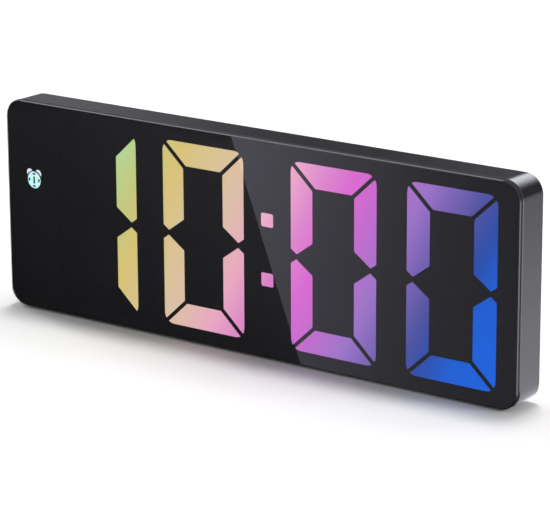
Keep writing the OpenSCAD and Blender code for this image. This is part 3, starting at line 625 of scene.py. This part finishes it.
def make_film():
    """The film, half as thick as its solid, so that it touches nothing."""
    shape = merged_copy("colour_film")
    low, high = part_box("colour_film")
    middle = (low.y + high.y) / 2
    for point in shape.verts:
        point.co.y = middle + (point.co.y - middle) * FILM_THINNING
    stand_for("colour_film", "film_sheet", shape, [colour_sheet()])


# Camera, as the photograph was taken

CAMERA_YAW = math.radians(36.51)
CAMERA_PITCH = math.radians(15.79)
CAMERA_ROLL = math.radians(-0.27)
CAMERA_DISTANCE = 0.7231
CAMERA_TARGET = Vector((0.00867, -0.0105, 0.02596))
CAMERA_LENS = 186.9
CAMERA_SENSOR = 36
CAMERA_NEAREST = 0.05
CAMERA_FARTHEST = 50


def place_camera():
    """The camera, turned right, tipped down and rolled, at its distance from its target."""
    data = bpy.data.cameras.new("photo_camera")
    data.lens = CAMERA_LENS
    data.sensor_width = CAMERA_SENSOR
    data.clip_start = CAMERA_NEAREST
    data.clip_end = CAMERA_FARTHEST
    camera = bpy.data.objects.new("photo_camera", data)
    bpy.context.collection.objects.link(camera)
    ahead = Vector((
        -math.sin(CAMERA_YAW) * math.cos(CAMERA_PITCH),
        math.cos(CAMERA_YAW) * math.cos(CAMERA_PITCH),
        -math.sin(CAMERA_PITCH),
    ))
    level = Vector((math.cos(CAMERA_YAW), math.sin(CAMERA_YAW), 0))
    upright = level.cross(ahead)
    right = level * math.cos(CAMERA_ROLL) + upright * math.sin(CAMERA_ROLL)
    up = right.cross(ahead)
    turn = Matrix((right, up, -ahead)).transposed().to_4x4()
    camera.matrix_world = Matrix.Translation(CAMERA_TARGET - ahead * CAMERA_DISTANCE) @ turn
    bpy.context.scene.camera = camera


# Floor

FLOOR_SIZE = 4.0
FLOOR_WHITE = 0.9
FLOOR_LIFT = 0.03


def rectangle(low, high):
    """The corners of a rectangle, as pairs."""
    return [(low[0], low[1]), (high[0], low[1]), (high[0], high[1]), (low[0], high[1])]


def stage_sheet(name, corners, material):
    """A flat sheet of the studio between its corners."""
    shape = bmesh.new()
    shape.faces.new([shape.verts.new(corner) for corner in corners])
    sheet = object_of(name, shape, [material])
    sheet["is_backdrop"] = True
    return sheet


def lay_floor():
    """A white floor that keeps the shadow and otherwise shows as the white background."""
    material = principled("floor_paper", grey(FLOOR_WHITE), 0.9, Specular_IOR_Level=0.0)
    lift = calculated(material, "MULTIPLY", seen_directly(material), FLOOR_LIFT)
    shader = shader_of(material)
    shader.inputs["Emission Color"].default_value = grey(1)
    link(material, lift, shader.inputs["Emission Strength"])
    corners = rectangle((-FLOOR_SIZE, -FLOOR_SIZE), (FLOOR_SIZE, FLOOR_SIZE))
    stage_sheet("floor", [(x, y, 0) for x, y in corners], material)


# Cards, the bright shapes that the display, its edge, the right side and the top mirror

COOL = (1, 1, 1.1)


def mirror_card(name, corners, across, stops, tint=COOL):
    """A glowing sheet that only mirrors see. In the direction across, its light follows the
    stops of (metres, light)."""
    most = max(light for place, light in stops)
    colours = [
        (place, (*(light / most * share for share in tint), 1.0)) for place, light in stops
    ]
    material = bare(name)
    glow = add(
        material, "ShaderNodeEmission",
        Color=ramp_along(material, across, colours), Strength=most,
    )
    show(material, glow.outputs["Emission"])
    card = stage_sheet(name, corners, material)
    for ray in ("camera", "diffuse", "transmission", "volume_scatter", "shadow"):
        setattr(card, "visible_" + ray, False)


CARD_LIFT = 0.1 * MM  # above the floor
CARD_REACH = 1.0
FRONT_GAP = 1 * MM  # from the clock's front to the cards before it
SIDE_GAP = 3 * MM  # from its right side to the glare
EDGE_GAP = 9 * MM  # from its right side to the card for the lens's edge


def floor_card(name, corners, across, stops, tint=COOL):
    """A card on the floor."""
    mirror_card(name, [(x, y, CARD_LIFT) for x, y in corners], across, stops, tint)


# The glare on the display: its slanting edge lies along this line on the floor in front
GLARE_NEAR = Vector((0.0154, -0.0122))
GLARE_FAR = Vector((-0.1458, -0.1959))
GLARE_TINT = (0.97, 0.94, 1.15)
# Light that the display mirrors from that floor, by millimetres along a slanting line on it:
# how far the line runs in X for a metre in Y, and the light, beside the glare and in it
DARK_SLANT = -1.32
DARK_LIGHT = [
    (-73, 0.09), (-48, 0.12), (-20, 0.15), (6, 0.18), (18, 0.2), (35, 0.25), (93, 0.31),
]
BRIGHT_SLANT = -0.62
BRIGHT_LIGHT = [
    (-25, 1.52), (0, 1.2), (19, 0.9), (29, 0.8), (40, 0.64), (52, 0.51), (60, 0.47), (66, 0.42),
    (79, 0.38),
]


def lay_glare_cards():
    """The two cards in front, which meet in the glare's slanting edge."""
    low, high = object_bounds()
    front = low.y - FRONT_GAP
    far = GLARE_NEAR + (GLARE_FAR - GLARE_NEAR).normalized() * CARD_REACH
    for name, side, slant, glare in (
        ("dark_glare_card", -CARD_REACH, DARK_SLANT, DARK_LIGHT),
        ("bright_glare_card", high.x + SIDE_GAP, BRIGHT_SLANT, BRIGHT_LIGHT),
    ):
        corners = [GLARE_NEAR, (side, front), (side, far.y), far]
        stops = [(place * MM + slant * low.y, light) for place, light in glare]
        floor_card(name, corners, (1, slant, 0), stops, GLARE_TINT)


EDGE_LIGHT = 4.2
SIDE_START = 0.07
SIDE_ACROSS = (0.6, 0.8, 0)
SIDE_LIGHT = [
    (0.03, 0.0), (0.0405, 0.0), (0.0465, 1.5), (0.055, 1.9), (0.066, 1.85), (0.08, 1.65),
    (0.12, 1.52), (0.25, 0.86), (0.9, 0.8),
]


def lay_side_cards():
    """The card for the lens's right edge, and the one for the right side."""
    low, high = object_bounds()
    front = low.y - FRONT_GAP
    beside = rectangle((high.x + EDGE_GAP, -CARD_REACH), (CARD_REACH, front))
    floor_card("edge_card", beside, (1, 0, 0), [(0, EDGE_LIGHT), (1, EDGE_LIGHT)])
    behind = rectangle((SIDE_START, front), (CARD_REACH, CARD_REACH))
    floor_card("side_card", behind, SIDE_ACROSS, SIDE_LIGHT)


# The cards behind the clock, in metres: where in Y they stand, from where to where they go in X
# and Z, and their light along X
FLAG_PLACE = 1.0
FLAG_WIDTH = (-2.5, 1.5)
FLAG_HEIGHT = (0, 1.6)
FLAG_LIGHT = [
    (-2.5, 0.02), (-1.08, 0.1), (-1.0, 0.3), (-0.94, 0.3), (-0.86, 0.22), (-0.76, 0.08),
    (-0.66, 0.05), (-0.5, 0.06), (0.3, 0.02), (1.5, 0.02),
]
CORNER_PLACE = 0.99
CORNER_WIDTH = (-0.57, 0.75)
CORNER_HEIGHT = (0.53, 1.15)
CORNER_LIGHT = [
    (-0.57, 3.0), (-0.45, 3.8), (-0.32, 4.4), (-0.17, 4.9), (0.01, 4.8), (0.15, 3.8), (0.3, 2.0),
    (0.42, 0.8), (0.55, 0.15), (0.75, 0.0),
]


def stand_cards():
    """The dim flag that the top mirrors, with one brighter streak, and the bright card that the
    rounded corner mirrors."""
    for name, place, width, height, stops in (
        ("back_flag", FLAG_PLACE, FLAG_WIDTH, FLAG_HEIGHT, FLAG_LIGHT),
        ("corner_card", CORNER_PLACE, CORNER_WIDTH, CORNER_HEIGHT, CORNER_LIGHT),
    ):
        corners = [(x, place, z) for x, z in rectangle(*zip(width, height))]
        mirror_card(name, corners, (1, 0, 0), stops)


# The strip overhead: the ends of its middle line, and the direction of its width
BEVEL_LEFT = Vector((-0.707, -0.1995, 0.6989))
BEVEL_RIGHT = Vector((-0.335, -0.2342, 0.8141))
BEVEL_ACROSS = Vector((-0.056, 0.965, 0.256))
BEVEL_WIDTH = 0.013
BEVEL_LIGHT = 4.4


def hang_bevel_strip():
    """The strip overhead that the lens's upper bevel mirrors as a thin line."""
    half = BEVEL_ACROSS * BEVEL_WIDTH / 2
    corners = [BEVEL_LEFT - half, BEVEL_RIGHT - half, BEVEL_RIGHT + half, BEVEL_LEFT + half]
    mirror_card("bevel_strip", corners, (1, 0, 0), [(-1, BEVEL_LIGHT), (0, BEVEL_LIGHT)])


# World and lamps

SKY_ACROSS = (0, 0.7, 0.7)
SKY_START = -0.5
SKY_END = 1.0
SKY_FRONT = 0.04
SKY_BACK = 0.5


def light_world():
    """A soft sky, brightest above and behind, which shows as a white background."""
    world = bpy.data.worlds.new("studio")
    bpy.context.scene.world = world
    world.use_nodes = True
    place = add(world, "ShaderNodeTexCoord").outputs["Generated"]
    rise = distance_along(world, place, SKY_ACROSS)
    sky = spread(world, rise, SKY_START, SKY_END, SKY_FRONT, SKY_BACK)
    background = world.node_tree.nodes["Background"]
    background.inputs["Color"].default_value = grey(1)
    link(world, spread(world, seen_directly(world), 0, 1, sky, 1), background.inputs["Strength"])


# The lamps: their direction as seen from the clock, their width in the sky and their strength
LAMPS = (
    ("top_light", (-0.06, 0.15, 1.0), math.radians(11), 1.4),
    ("back_light", (0.0, 1.0, 1.0), math.radians(60), 0.4),
    ("left_light", (-1.0, 0.23, 0.6), math.radians(24), 1.3),
    ("right_light", (1.0, 0.25, 0.6), math.radians(24), 1.15),
)


def hang_lamps():
    """Even lights from far away, which mirrors don't show."""
    for name, direction, width, strength in LAMPS:
        data = bpy.data.lights.new(name, "SUN")
        data.angle = width
        data.energy = strength
        lamp = bpy.data.objects.new(name, data)
        bpy.context.collection.objects.link(lamp)
        lamp.rotation_euler = Vector(direction).to_track_quat("Z", "Y").to_euler()
        lamp.visible_glossy = False


dress_nodes()
make_lens()
make_film()
lay_floor()
lay_glare_cards()
lay_side_cards()
stand_cards()
hang_bevel_strip()
light_world()
hang_lamps()
place_camera()
bpy.context.scene.view_settings.view_transform = "Standard"
